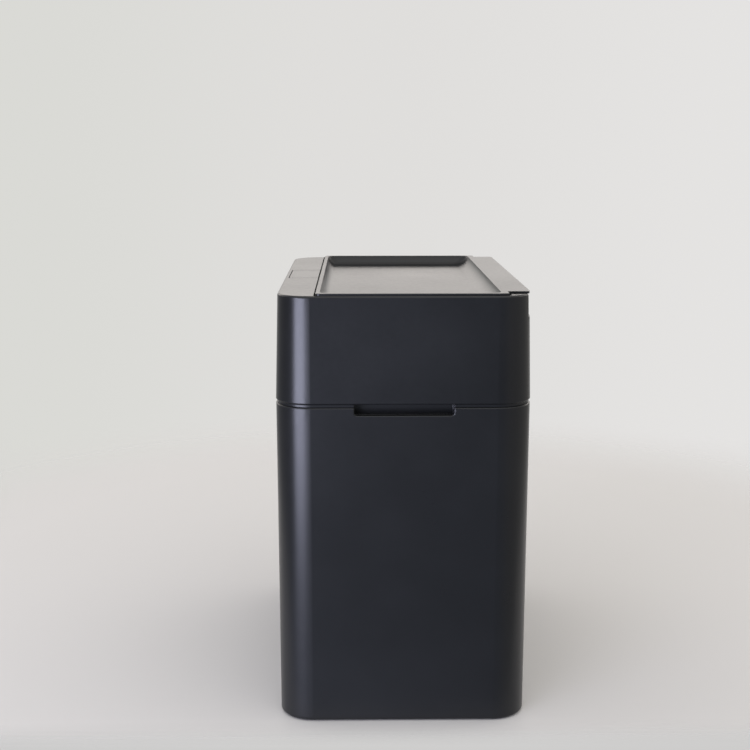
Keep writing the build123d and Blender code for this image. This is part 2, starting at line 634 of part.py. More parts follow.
def upper_casing():
    outer = casing_outer()
    inner = casing_inner()
    casing = outer - inner
    band_r = CORNER_R - BAND_INSET
    band_top = BAND_Z + WALL
    band = straight(CASING_LENGTH - 2 * BAND_INSET, CASING_DEPTH - 2 * BAND_INSET, band_r, SEAM_Z, band_top)
    skirt_r = CORNER_R - RIM_STEP - SKIRT_INSET
    skirt = straight(2 * SKIRT_X, RIM_DEPTH - 2 * SKIRT_INSET, skirt_r, SKIRT_Z, BAND_Z)
    throat_inset = SKIRT_INSET + SKIRT_WALL
    throat_r = skirt_r - SKIRT_WALL
    throat = straight(
        RIM_LENGTH - 2 * throat_inset, RIM_DEPTH - 2 * throat_inset, throat_r, SKIRT_Z, band_top
    )
    casing += band + skirt - throat
    casing += grip_pocket(SKIRT_WALL) & (skirt + inner)
    casing -= (grip_pocket(0) & level(-FAR, BAND_Z)) + (grip_pocket(0) & inner)

    # Front strip with the button's opening
    strip = outer & block(-FAR, FAR, -FAR, STRIP_REAR_Y, UNDER_TOP_Z, FAR)
    strip += inner & block(-FAR, FAR, STRIP_REAR_Y - WALL, STRIP_REAR_Y, RETURN_Z, HEIGHT)
    half = BUTTON_WIDTH / 2 + BUTTON_GAP
    well_z = UNDER_TOP_Z - BUTTON_DROP - SIDE_GAP
    strip -= block(-half, half, BUTTON_FRONT_Y - BUTTON_GAP, STRIP_REAR_Y, well_z, FAR)
    casing += strip
    for side in (-1, 1):
        x = side * HOUSING_SCREW_X
        casing += round_z(x, LATCH_Y, HOUSING_TOP_Z, UNDER_TOP_Z, HOUSING_BOSS_R)
        casing -= round_z(x, LATCH_Y, HOUSING_TOP_Z, HOUSING_Z + SCREW_LENGTH, SCREW_R)
        casing += bumper_ledge(side)
        rib_x = side * (ROD_WIDTH / 2 + SIDE_GAP + WALL / 2)
        rib_rear = ROD_Y + ROD_WALL / 2
        rib = block(rib_x - WALL / 2, rib_x + WALL / 2, -FAR, rib_rear, band_top, HOUSING_Z - SIDE_GAP)
        casing += rib & inner

    # Rear wall: recessed top, guard and corner blocks
    riser_rear = REAR_Y - REAR_RECESS
    riser_front = riser_rear - WALL
    shelf_z = RECESS_Z - WALL
    shelf = outer & block(-BLOCK_X, BLOCK_X, riser_front, FAR, shelf_z, RECESS_Z)
    lean = GUARD_R * sin(acos(min(1, (HINGE_INSET - REAR_RECESS) / GUARD_R)))
    riser = block(-GUARD_X, GUARD_X, riser_front, riser_rear, shelf_z, HINGE_Z - lean + WALL)
    casing = casing - rear_recess() + shelf + riser + rear_guard()
    for side in (-1, 1):
        casing += corner_block(side, outer, inner)
    return casing


# Latch and button
def latch_housing():
    front = FRONT_Y + WALL + SIDE_GAP
    rear = STRIP_REAR_Y - WALL - SIDE_GAP
    half = HOUSING_HALF_LENGTH
    plate = block(-half, half, front, rear, HOUSING_Z, HOUSING_TOP_Z)
    plate = fillet(plate.edges().filter_by(Axis.Z), HOUSING_BOSS_R)
    cheek = Pos(LATCH_Y, LATCH_Z) * Circle(LATCH_HUB_R)
    cheek += Pos(LATCH_Y, (LATCH_Z + HOUSING_Z) / 2) * Rectangle(2 * LATCH_HUB_R, LATCH_Z - HOUSING_Z)
    cheek -= Pos(LATCH_Y, LATCH_Z) * Circle(LATCH_PIN_R)
    swing = HOUSING_DROP + HOUSING_WALL
    slot_front = LATCH_Y - HOOK_FRONT - swing * sin(radians(LATCH_TURN)) - SIDE_GAP
    slot_rear = LATCH_Y + HOOK_WALL - HOOK_FRONT + SIDE_GAP
    hook_half = HOOK_WIDTH / 2 + SIDE_GAP
    plate -= block(-hook_half, hook_half, slot_front, slot_rear, -FAR, FAR)
    plate -= rod_hole(ROD_Y, -FAR, FAR)
    for side in (-1, 1):
        x0 = CHEEK_INNER_X if side > 0 else -CHEEK_OUTER_X
        plate += extrude(Plane.YZ.offset(x0) * cheek, HOUSING_WALL)
        plate -= round_z(side * HOUSING_SCREW_X, LATCH_Y, -FAR, FAR, SCREW_R)
        plate -= button_leg_hole(side)
    return plate


def button_leg_hole(side):
    """Slot in the housing's plate for one leg of the button, wide enough for its barb to snap through."""
    x = side * BUTTON_LEG_X
    half_x = BUTTON_LEG_WALL / 2 + SEAT_GAP
    half_y = BUTTON_LEG_WIDTH / 2 + SEAT_GAP
    return block(x - half_x, x + half_x, LATCH_Y - half_y, LATCH_Y + half_y, -FAR, FAR)


def housing_screws():
    return Compound(children=[screw(side * HOUSING_SCREW_X, LATCH_Y, HOUSING_Z) for side in (-1, 1)])


def latch_pin():
    return round_x(-CHEEK_OUTER_X, CHEEK_OUTER_X, LATCH_Y, LATCH_Z, LATCH_PIN_R)


def latch_lever():
    hub = Circle(LATCH_HUB_R)
    front_arm = Pos(-LATCH_FRONT_ARM / 2, 0) * Rectangle(LATCH_FRONT_ARM, 2 * LATCH_ARM_R)
    front_arm += Pos(-LATCH_FRONT_ARM, 0) * Circle(LATCH_ARM_R)
    rear_arm = Pos(LATCH_REAR_ARM / 2, 0) * Rectangle(LATCH_REAR_ARM, 2 * LATCH_ARM_R)
    rear_arm += Pos(LATCH_REAR_ARM, 0) * Circle(LATCH_ARM_R)
    leg = Pos(HOOK_WALL / 2 - HOOK_FRONT, -HOOK_R / 2) * Rectangle(HOOK_WALL, HOOK_R)
    claw = (Circle(HOOK_R) - Circle(HOOK_R - HOOK_WALL)) & Polygon(
        (-HOOK_FRONT, 0), (-HOOK_FRONT, -FAR), (HOOK_REACH, -FAR), (HOOK_REACH, 0), align=None
    )
    hook = (leg & Circle(HOOK_R)) + claw
    ramp = HOOK_REACH - HOOK_ENGAGE - HOOK_WALL / 2
    hook -= Polygon(
        (ramp, 0),
        (HOOK_REACH + HOOK_WALL, 0),
        (HOOK_REACH + HOOK_WALL, -HOOK_TIP_DROP + HOOK_ENGAGE / 2),
        (HOOK_REACH, -HOOK_TIP_DROP + HOOK_ENGAGE / 2),
        align=None,
    )
    at_pivot = Pos(LATCH_Y, LATCH_Z)
    lever = across(at_pivot * hub, LATCH_HALF_WIDTH)
    lever += across(at_pivot * front_arm, FRONT_ARM_WIDTH / 2)
    lever += across(at_pivot * rear_arm, LATCH_HALF_WIDTH)
    lever += across(at_pivot * hook, HOOK_WIDTH / 2)
    return lever - round_x(-FAR, FAR, LATCH_Y, LATCH_Z, LATCH_PIN_R + RUN_GAP)


def latch_spring():
    length = LATCH_Z - LATCH_ARM_R - HOUSING_TOP_Z
    return Pos(LATCH_SPRING_X, PLUNGER_Y - LATCH_ARM_R / 2, HOUSING_TOP_Z) * coil(
        LATCH_SPRING_R, length, LATCH_SPRING_TURNS, LATCH_SPRING_WIRE_R
    )


def push_button():
    half = BUTTON_WIDTH / 2
    plate = block(-half, half, BUTTON_FRONT_Y, STRIP_REAR_Y, UNDER_TOP_Z, HEIGHT)
    plate = chamfer(plate.faces().sort_by(Axis.Z)[-1].edges(), LID_CHAMFER)
    plunger_z = LATCH_Z + LATCH_ARM_R + SEAT_GAP
    root_z = HEIGHT - TOP_WALL / 2
    plunger = block(
        -PLUNGER_WIDTH / 2, PLUNGER_WIDTH / 2,
        PLUNGER_Y - PLUNGER_WALL / 2, PLUNGER_Y + PLUNGER_WALL / 2,
        plunger_z, root_z,
    )
    tip = plunger.edges().filter_by(Axis.X).group_by(Axis.Z)[0]
    button = plate + fillet(tip, PLUNGER_WALL * TIP_ROUND)
    half_x = BUTTON_LEG_WALL / 2
    half_y = BUTTON_LEG_WIDTH / 2
    barb_z = HOUSING_Z - SEAT_GAP
    leg_z = barb_z - BUTTON_LEG_WALL
    for side in (-1, 1):
        x = side * BUTTON_LEG_X
        button += block(x - half_x, x + half_x, LATCH_Y - half_y, LATCH_Y + half_y, leg_z, root_z)
        outside = x + side * half_x
        barb = Polygon(
            (x, barb_z), (outside + side * BUTTON_BARB, barb_z), (outside, leg_z), (x, leg_z), align=None
        )
        button += extrude(Plane.XZ.offset(-LATCH_Y) * barb, half_y, both=True)
    return button


# Lid
def lid_inside(inset):
    """Plan of the casing's inside less the lid's gap, and less inset all round."""
    shrink = WALL + LID_GAP + inset
    return RectangleRounded(TOP_LENGTH - 2 * shrink, TOP_DEPTH - 2 * shrink, TOP_R - shrink)


def lid_outline():
    """Plan of the lid, notched round the fixed corner blocks."""
    front_part = lid_inside(0) & Pos(0, (LID_FRONT_Y + BLOCK_Y - LID_BLOCK_FRONT_GAP) / 2) * Rectangle(
        2 * LID_HALF, BLOCK_Y - LID_BLOCK_FRONT_GAP - LID_FRONT_Y
    )
    rear_part = Pos(0, (LID_FRONT_Y + REAR_Y) / 2) * Rectangle(
        2 * (BLOCK_X - LID_BLOCK_GAP), REAR_Y - LID_FRONT_Y
    )
    plan = (front_part + rear_part) & RectangleRounded(TOP_LENGTH, TOP_DEPTH, TOP_R)
    return fillet(plan.vertices().group_by(Axis.Y)[0], LID_CORNER_R)


def tray(grow):
    """Sunk middle of the lid, or with grow the outside of its wall."""
    faces = []
    for depth in (0, TRAY_DEPTH + grow):
        run = TRAY_SLOPE * depth / TRAY_DEPTH
        front = LID_FRONT_Y + LID_RIM - grow + run
        rear = REAR_Y - LID_REAR_STRIP + grow - TRAY_REAR_SLOPE * depth / TRAY_DEPTH
        length = 2 * (LID_HALF - LID_RIM + grow - run)
        face = RectangleRounded(length, rear - front, TRAY_CORNER_R + grow - run)
        faces.append(Pos(0, (front + rear) / 2, LID_TOP_Z - depth) * face)
    return loft(faces, ruled=True)


def involute_tooth(pitch_r, angle):
    """One gear tooth about the origin, centred on the stated direction."""
    base_r = pitch_r * cos(radians(PRESSURE_ANGLE))
    root_r = pitch_r - DEDENDUM * GEAR_MODULE
    tip_r = pitch_r + ADDENDUM * GEAR_MODULE
    half_pitch = (pi * GEAR_MODULE / 2 - BACKLASH) / (2 * pitch_r)

    def spread(radius):
        turn = acos(min(1, base_r / radius))
        pressure = radians(PRESSURE_ANGLE)
        return half_pitch + tan(pressure) - pressure - tan(turn) + turn

    start_r = max(base_r, root_r)
    radii = [start_r + (tip_r - start_r) * i / FLANK_STEPS for i in range(FLANK_STEPS + 1)]
    flank = [(r, spread(r)) for r in radii]
    flank = [(root_r - GEAR_MODULE / 2, flank[0][1])] + flank
    right = [(r * cos(angle - a), r * sin(angle - a)) for r, a in flank]
    left = [(r * cos(angle + a), r * sin(angle + a)) for r, a in reversed(flank)]
    return Polygon(*right, *left, align=None)


def gear_face(pitch_r, angles):
    """Gear outline about the origin, with teeth in the stated directions."""
    face = Circle(pitch_r - DEDENDUM * GEAR_MODULE)
    for angle in angles:
        face += involute_tooth(pitch_r, angle)
    return face


def hinge_ear(side):
    """Barrel under the lid's rear corner, with a web up to the lid."""
    x0, x1 = (BARREL_INNER_X, BARREL_OUTER_X) if side > 0 else (-BARREL_OUTER_X, -BARREL_INNER_X)
    web = block(x0, x1, HINGE_Y - HINGE_BARREL_R, HINGE_Y + HINGE_BARREL_R, HINGE_Z, LID_PLATE_Z)
    return round_x(x0, x1, HINGE_Y, HINGE_Z, HINGE_BARREL_R) + web


def gear_sector():
    """Teeth on the right-hand ear that turn the damper."""
    pitch = 2 * pi / SECTOR_TEETH
    angles = [radians(DAMPER_ANGLE) + i * pitch for i in range(SECTOR_FIRST, SECTOR_LAST + 1)]
    face = gear_face(SECTOR_R, angles)
    body = extrude(Plane.YZ.offset(BARREL_INNER_X) * Pos(HINGE_Y, HINGE_Z) * face, GEAR_WIDTH)
    return body & block(-FAR, FAR, -FAR, FAR, -FAR, LID_PLATE_Z)


def catch_tongue():
    """Tongue behind the lid's front skirt, with the slot that the latch hooks into."""
    half = TONGUE_WIDTH / 2
    tongue = block(-half, half, TONGUE_Y, TONGUE_Y + TONGUE_WALL, TONGUE_Z, LID_PLATE_Z)
    low_edges = tongue.edges().filter_by(Axis.Y).group_by(Axis.Z)[0]
    tongue = fillet(low_edges, TONGUE_SILL)
    slot_half = HOOK_WIDTH / 2 + TONGUE_SLOT_CLEAR
    return tongue - block(-slot_half, slot_half, -FAR, FAR, SILL_Z, SLOT_TOP_Z)


def lid_panel():
    plan = lid_outline()
    plate = extrude(Pos(0, 0, LID_UNDER_Z) * plan, LID_WALL)
    plate = chamfer(plate.faces().sort_by(Axis.Z)[-1].edges(), LID_CHAMFER)
    skirt_z = HEIGHT - LID_FRONT_SKIRT
    skirts = block(-LID_HALF, LID_HALF, LID_FRONT_Y, LID_FRONT_Y + LID_WALL, skirt_z, LID_PLATE_Z)
    ring = lid_inside(0) - lid_inside(LID_WALL)
    side_skirts = extrude(Pos(0, 0, HEIGHT - LID_SIDE_SKIRT) * ring, LID_SIDE_SKIRT + LID_PROUD)
    skirts += side_skirts & block(-FAR, FAR, LID_FRONT_Y, REAR_Y - LID_SIDE_SKIRT_END, -FAR, LID_PLATE_Z)
    lid = plate + (skirts & extrude(Pos(0, 0, skirt_z) * plan, LID_PLATE_Z - skirt_z))
    for side in (-1, 1):
        lid += hinge_ear(side)
    lid += catch_tongue() + gear_sector() + tray(LID_WALL)
    lid -= tray(0)
    return lid - round_x(-FAR, FAR, HINGE_Y, HINGE_Z, HINGE_PIN_R + RUN_GAP)


def hinge_pin(side, inner_x):
    x0, x1 = (inner_x, BLOCK_X + WALL) if side > 0 else (-BLOCK_X - WALL, -inner_x)
    return round_x(x0, x1, HINGE_Y, HINGE_Z, HINGE_PIN_R)


def lid_spring():
    """Torsion spring round the left pin, with one leg up to the lid and one down to the rear shelf."""
    spring = coil(
        LID_SPRING_R,
        LID_SPRING_LENGTH,
        LID_SPRING_TURNS,
        LID_SPRING_WIRE_R,
        start_leg=HINGE_Z - RECESS_Z + WALL,
        end_leg=LID_UNDER_Z - HINGE_Z - SEAT_GAP,
    )
    return Plane.YZ.offset(-SPRING_OUTER_X) * Pos(HINGE_Y, HINGE_Z) * spring


def damper_body():
    disc = round_x(BLOCK_X - DAMPER_WIDTH, BLOCK_X, PINION_Y, PINION_Z, DAMPER_R)
    disc = chamfer(disc.edges().sort_by(Axis.X)[0], DAMPER_CHAMFER)
    return disc - round_x(BLOCK_X - DAMPER_WIDTH, SOCKET_X, PINION_Y, PINION_Z, DAMPER_SHAFT_R + RUN_GAP)


def damper_pinion():
    toward = radians(DAMPER_ANGLE) + pi
    pitch = 2 * pi / PINION_TEETH
    face = gear_face(PINION_R, [toward + (i + 0.5) * pitch for i in range(PINION_TEETH)])
    gear = extrude(Plane.YZ.offset(BARREL_INNER_X) * Pos(PINION_Y, PINION_Z) * face, GEAR_WIDTH)
    shaft_x = BARREL_INNER_X + GEAR_WIDTH / 2
    return gear + round_x(shaft_x, SOCKET_X - SEAT_GAP, PINION_Y, PINION_Z, DAMPER_SHAFT_R)


def lid_bumpers():
    bumpers = []
    for side in (-1, 1):
        bumper = round_z(side * BUMPER_X, BUMPER_Y, BUMPER_Z, BUMPER_Z + BUMPER_HEIGHT, BUMPER_R)
        bumpers.append(chamfer(bumper.edges().sort_by(Axis.Z)[-1], BUMPER_CHAMFER))
    return Compound(children=bumpers)


NODES = {
    "body_bucket": body_bucket(),
    "mechanism_cover": mechanism_cover(),
    "cover_screws": cover_screws(),
    "pedal_lever": pedal_lever(),
    "pedal_axle": pedal_axle(),
    "lower_push_rod": lower_push_rod(),
    "pedal_spring": pedal_spring(),
    "foot_front_left": foot(-1, -1),
    "foot_front_right": foot(1, -1),
    "foot_rear_left": foot(-1, 1),
    "foot_rear_right": foot(1, 1),
    "upper_casing": upper_casing(),
    "latch_housing": latch_housing(),
    "housing_screws": housing_screws(),
    "latch_pin": latch_pin(),
    "latch_lever": latch_lever(),
    "latch_spring": latch_spring(),
    "upper_push_rod": upper_push_rod(),
    "push_button": push_button(),
    "lid_panel": lid_panel(),
    "hinge_pin_left": hinge_pin(-1, GUARD_X + SIDE_GAP),
    "hinge_pin_right": hinge_pin(1, BARREL_INNER_X),
    "lid_spring": lid_spring(),
    "damper_body": damper_body(),
    "damper_pinion": damper_pinion(),
    "lid_bumpers": lid_bumpers(),
}

os.makedirs("parts", exist_ok=True)
for name, solid in NODES.items():
    export_step(solid, f"parts/{name}.step")
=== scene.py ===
"""Looks of a slim push-and-pedal trash can: stage, light, camera and finishes.

Metres. X runs along the can's long side, Y from its front to its rear, Z upwards.
"""
import json
import math

import bmesh
import bpy
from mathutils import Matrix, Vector


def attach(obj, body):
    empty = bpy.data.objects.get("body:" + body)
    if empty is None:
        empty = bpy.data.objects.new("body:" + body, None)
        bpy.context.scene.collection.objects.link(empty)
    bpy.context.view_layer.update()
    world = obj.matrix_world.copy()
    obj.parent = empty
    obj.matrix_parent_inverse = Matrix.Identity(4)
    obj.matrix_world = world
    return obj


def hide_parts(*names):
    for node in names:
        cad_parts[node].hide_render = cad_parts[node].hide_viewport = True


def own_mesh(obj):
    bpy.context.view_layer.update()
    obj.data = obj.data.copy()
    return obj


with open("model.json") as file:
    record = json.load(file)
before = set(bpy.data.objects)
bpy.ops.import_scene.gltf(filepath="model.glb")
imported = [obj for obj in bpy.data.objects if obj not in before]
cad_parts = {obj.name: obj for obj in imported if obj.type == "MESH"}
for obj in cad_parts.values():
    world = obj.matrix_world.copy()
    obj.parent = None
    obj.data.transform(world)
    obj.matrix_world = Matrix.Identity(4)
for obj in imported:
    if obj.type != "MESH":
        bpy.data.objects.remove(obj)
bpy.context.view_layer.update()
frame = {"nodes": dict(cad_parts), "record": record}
nodes = frame["nodes"]
scene = bpy.context.scene
scene.view_settings.view_transform = "Standard"

# Camera, as the photograph was taken
CAMERA_PLACE = (1.3634, -0.0437, 0.5615)
CAMERA_PITCH = 10.52  # degrees below the horizon
CAMERA_YAW = 0.80  # degrees from -X towards +Y
CAMERA_LENS = 61.0  # millimetres
SENSOR_WIDTH = 36.0  # millimetres

# Room: rings of wall, each with linear colours by bearing in degrees from +X towards +Y
GROUND_COLOURS = (
    (-180, (0.62, 0.615, 0.61)),
    (-125, (0.56, 0.56, 0.57)),
    (-50, (0.24, 0.25, 0.28)),
    (0, (0.21, 0.22, 0.25)),
    (60, (0.38, 0.38, 0.38)),
    (125, (0.60, 0.59, 0.58)),
    (180, (0.62, 0.615, 0.61)),
)
LOW_COLOURS = (
    (-180, (0.70, 0.69, 0.68)),
    (-165, (0.66, 0.66, 0.64)),
    (-142, (0.34, 0.34, 0.34)),
    (-118, (0.24, 0.24, 0.24)),
    (-85, (0.24, 0.24, 0.25)),
    (-50, (0.56, 0.59, 0.70)),
    (-12, (0.62, 0.65, 0.77)),
    (14, (0.47, 0.51, 0.59)),
    (60, (0.42, 0.41, 0.40)),
    (128, (0.36, 0.35, 0.33)),
    (162, (0.70, 0.69, 0.68)),
    (180, (0.70, 0.69, 0.68)),
)
HORIZON_COLOURS = (
    (-180, (0.74, 0.73, 0.715)),
    (-165, (0.70, 0.70, 0.67)),
    (-142, (0.36, 0.36, 0.36)),
    (-118, (0.26, 0.26, 0.26)),
    (-85, (0.25, 0.25, 0.26)),
    (-50, (0.34, 0.36, 0.41)),
    (-12, (0.31, 0.33, 0.375)),
    (16, (0.22, 0.24, 0.27)),
    (45, (0.44, 0.43, 0.42)),
    (85, (0.45, 0.44, 0.43)),
    (130, (0.36, 0.35, 0.33)),
    (162, (0.78, 0.77, 0.76)),
    (180, (0.74, 0.73, 0.715)),
)
UPPER_COLOURS = (
    (-180, (2.30, 2.17, 2.07)),
    (-135, (2.30, 2.17, 2.07)),
    (-85, (0.45, 0.45, 0.47)),
    (0, (0.45, 0.47, 0.51)),
    (85, (0.47, 0.45, 0.43)),
    (135, (2.30, 2.17, 2.07)),
    (180, (2.30, 2.17, 2.07)),
)
CEILING_COLOURS = (
    (-180, (0.70, 0.68, 0.66)),
    (-90, (0.90, 0.90, 0.90)),
    (0, (1.50, 1.49, 1.48)),
    (90, (1.05, 1.02, 0.98)),
    (180, (0.70, 0.68, 0.66)),
)
RINGS_OVER_GROUND = (  # upwards, with the sines of the heights between which each ring takes over
    (LOW_COLOURS, (-0.41, -0.34)),
    (HORIZON_COLOURS, (-0.30, -0.22)),
    (UPPER_COLOURS, (0.10, 0.22)),
    (CEILING_COLOURS, (0.30, 0.58)),
)

# Floor and lamp
FLOOR_COLOUR = (0.63, 0.62, 0.61)
FLOOR_ROUGHNESS = 0.6
FLOOR_SPECULAR = 0.15
FLOOR_RADIUS = 1.6
FLOOR_SIDES = 96
FLOOR_MIDDLE = -0.25  # along X, where the floor is most solid
FLOOR_FADE = (0.55, 1.00)  # distances from there between which the floor melts into the background
FLOOR_FRONT_FADE = (0.195, 0.255)  # the same along X, in front of the can
WINDOW_PLACE = (1.630, -1.159, 0.165)
WINDOW_AIM = (0.0, 0.0, 0.165)
WINDOW_SIZE = (1.20, 0.90)  # width and height
WINDOW_POWER = 41.0
WINDOW_COLOUR = (0.76, 0.78, 1.0)

# Finishes: colours are linear, and a noise is its scale and its detail
MOST_OF_NOISE = (0.30, 0.70)  # values between which most of a noise lies
WHOLE = (0.0, 1.0)
EDGE_SAMPLES = 8
BODY_COLOUR = (0.0050, 0.0055, 0.0067)
BODY_ROUGHNESS = 0.31
BODY_GRAIN_DEPTH = 0.0000022
BODY_EDGE = 0.0006  # radius that softens the edges
BUCKET_EDGE = 0.0022
CASING_EDGE = 0.0014
MECHANISM_COLOUR = (0.020, 0.020, 0.021)
MECHANISM_ROUGHNESS = 0.42
MECHANISM_GRAIN_DEPTH = 0.0000015
MECHANISM_EDGE = 0.0003
PLASTIC_IOR = 1.45
PLASTIC_GRAIN = (1500.0, 2.0)
PLASTIC_WAVES = (38.0, 2.0)
PLASTIC_WAVE_DEPTH = 0.00003
PLASTIC_PATCHES = (7.0, 4.0)
PLASTIC_PATCH_GLOSS = 0.025  # most change of the roughness
PLASTIC_SPECKS = (240.0, 3.0)
PLASTIC_SPECK_GLOSS = 0.015
PLASTIC_DUST_SPAN = (0.35, 0.70)  # of the patches
PLASTIC_DUST_GAIN = 1.35
PLASTIC_DUST_LIFT = 0.002
STEEL_COLOUR = (0.56, 0.56, 0.57)
STEEL_STREAKS = (420.0, 3.0)
STEEL_STRETCH = (0.06, 1, 1)
STEEL_STREAK_DEPTH = 0.000004
STEEL_STREAK_ROUGHNESS = (0.20, 0.30)
STEEL_PATCHES = (90.0, 3.0)
STEEL_PATCH_ROUGHNESS = (0.0, 0.10)  # on top of the streaks' roughness
STEEL_EDGE = 0.0002
RUBBER_COLOUR = (0.012, 0.012, 0.013)
RUBBER_DUST_COLOUR = (0.022, 0.021, 0.020)
RUBBER_DUST = (120.0, 4.0)
RUBBER_DUST_SPAN = (0.40, 0.75)
RUBBER_ROUGHNESS = (0.68, 0.82)
RUBBER_GRAIN = (900.0, 4.0)
RUBBER_GRAIN_DEPTH = 0.00003
RUBBER_EDGE = 0.0004

# Sockets of a Mix node that blends colours
MIX_FIRST = 6
MIX_SECOND = 7
MIX_RESULT = 2

# Tray of the lid: a small step at its rim, then a cove down to the floor
TRAY_DEPTH = 0.0105
TRAY_STEP = (0.0004, 0.0012)  # run and depth
TRAY_COVE_ANGLES = (20, 90)  # part of a quarter ellipse, in degrees
TRAY_COVE_RINGS = 10
TRAY_END_RUN = 0.0105
TRAY_FRONT_RUN = 0.0085
TRAY_REAR_RUN = 0.0150
SHARP_ANGLE = 32.0  # degrees
MERGE_DISTANCE = 0.000001
LEVEL_DIGITS = 5  # decimals to which heights in the lid are told apart
SLACK = 0.00001
UPWARD = 0.05  # least Z of the normal of a face that looks up

# Springs that shorten: node, body, joint, height of the end that stays, travel of the other end
SQUEEZED_SPRINGS = (
    ("pedal_spring", "base", "lower_rod_lift", 0.0442, 0.00530),
    ("latch_spring", "upper_frame", "latch_release", 0.3930, 0.00310),
)


def add_camera():
    """Camera that sees the can as the photograph does."""
    data = bpy.data.cameras.new("camera")
    data.sensor_width = SENSOR_WIDTH
    data.lens = CAMERA_LENS
    camera = bpy.data.objects.new("camera", data)
    camera.location = CAMERA_PLACE
    camera.rotation_euler = (math.radians(90 - CAMERA_PITCH), 0, math.radians(90 - CAMERA_YAW))
    scene.collection.objects.link(camera)
    scene.camera = camera


def add_window():
    """Lamp off the can's near front corner, which gives the bright line along that corner."""
    data = bpy.data.lights.new("window", "AREA")
    data.shape = "RECTANGLE"
    data.size, data.size_y = WINDOW_SIZE
    data.energy = WINDOW_POWER
    data.color = WINDOW_COLOUR
    lamp = bpy.data.objects.new("window", data)
    lamp.location = WINDOW_PLACE
    lamp.rotation_euler = (Vector(WINDOW_AIM) - lamp.location).to_track_quat("-Z", "Y").to_euler()
    scene.collection.objects.link(lamp)


def add_world():
    """Pale room: an even wall behind the can, a bright upper wall over it, a quieter room to the sides."""
    world = bpy.data.worlds.new("pale_room")
    scene.world = world
    world.use_nodes = True
    tree = world.node_tree
    direction = tree.nodes.new("ShaderNodeTexCoord")
    bearing = tree.nodes.new("ShaderNodeTexGradient")
    bearing.gradient_type = "RADIAL"
    tree.links.new(direction.outputs["Generated"], bearing.inputs["Vector"])
    axes = tree.nodes.new("ShaderNodeSeparateXYZ")
    tree.links.new(direction.outputs["Generated"], axes.inputs["Vector"])

    def ring(stops):
        ramp = tree.nodes.new("ShaderNodeValToRGB")
        ramp.color_ramp.interpolation = "EASE"
        elements = ramp.color_ramp.elements
        while len(elements) < len(stops):
            elements.new(0.5)
        for element, (degrees, colour) in zip(elements, stops):
            element.position = degrees / 360 + 0.5
            element.color = (*colour, 1)
        tree.links.new(bearing.outputs["Fac"], ramp.inputs["Fac"])
        return ramp.outputs["Color"]

    def over(lower, upper, rise):
        height = tree.nodes.new("ShaderNodeMapRange")
        height.interpolation_type = "SMOOTHSTEP"
        height.inputs["From Min"].default_value, height.inputs["From Max"].default_value = rise
        tree.links.new(axes.outputs["Z"], height.inputs["Value"])
        mix = tree.nodes.new("ShaderNodeMix")
        mix.data_type = "RGBA"
        tree.links.new(height.outputs["Result"], mix.inputs["Factor"])
        tree.links.new(lower, mix.inputs[MIX_FIRST])
        tree.links.new(upper, mix.inputs[MIX_SECOND])
        return mix.outputs[MIX_RESULT]

    room = ring(GROUND_COLOURS)
    for colours, rise in RINGS_OVER_GROUND:
        room = over(room, ring(colours), rise)
    tree.links.new(room, tree.nodes["Background"].inputs["Color"])


class Nodes:
    """Short way to add and link the nodes of one material."""

    def __init__(self, name):
        self.material = bpy.data.materials.new(name)
        self.material.use_nodes = True
        self.tree = self.material.node_tree
        self.shader = self.tree.nodes["Principled BSDF"]
        self.output = self.tree.nodes["Material Output"]
        self.place = None

    def add(self, kind, **settings):
        node = self.tree.nodes.new(kind)
        for name, value in settings.items():
            setattr(node, name, value)
        return node

    def link(self, source, target):
        self.tree.links.new(source, target)

    def set(self, **values):
        for name, value in values.items():
            self.shader.inputs[name.replace("_", " ")].default_value = value

    def noise(self, scale, detail, stretch=(1, 1, 1)):
        """Solid noise fixed to the piece, with an even spread about 0.5."""
        if self.place is None:
            self.place = self.add("ShaderNodeTexCoord")
        mapping = self.add("ShaderNodeMapping")
        mapping.inputs["Scale"].default_value = stretch
        self.link(self.place.outputs["Object"], mapping.inputs["Vector"])
        noise = self.add("ShaderNodeTexNoise")
        noise.inputs["Scale"].default_value = scale
        noise.inputs["Detail"].default_value = detail
        self.link(mapping.outputs["Vector"], noise.inputs["Vector"])
        return noise.outputs["Fac"]

    def span(self, value, old, new, interpolation="LINEAR"):
        """Value with the range `old` mapped to the range `new`."""
        node = self.add("ShaderNodeMapRange", interpolation_type=interpolation)
        for name, number in zip(("From Min", "From Max", "To Min", "To Max"), (*old, *new)):
            node.inputs[name].default_value = number
        self.link(value, node.inputs["Value"])
        return node.outputs["Result"]

    def combine(self, first, second, operation="ADD"):
        node = self.add("ShaderNodeMath", operation=operation)
        self.link(first, node.inputs[0])
        self.link(second, node.inputs[1])
        return node.outputs["Value"]

    def blend(self, factor, first, second):
        node = self.add("ShaderNodeMix", data_type="RGBA")
        self.link(factor, node.inputs["Factor"])
        node.inputs[MIX_FIRST].default_value = (*first, 1)
        node.inputs[MIX_SECOND].default_value = (*second, 1)
        return node.outputs[MIX_RESULT]

    def relief(self, heights, edge):
        """Normal from bumps over edges rounded by `edge`; each bump is a height output and its depth."""
        soft = self.add("ShaderNodeBevel", samples=EDGE_SAMPLES)
        soft.inputs["Radius"].default_value = edge
        normal = soft.outputs["Normal"]
        for height, depth in heights:
            bump = self.add("ShaderNodeBump")
            bump.inputs["Strength"].default_value = 1.0
            bump.inputs["Distance"].default_value = depth
            self.link(height, bump.inputs["Height"])
            self.link(normal, bump.inputs["Normal"])
            normal = bump.outputs["Normal"]
        self.link(normal, self.shader.inputs["Normal"])


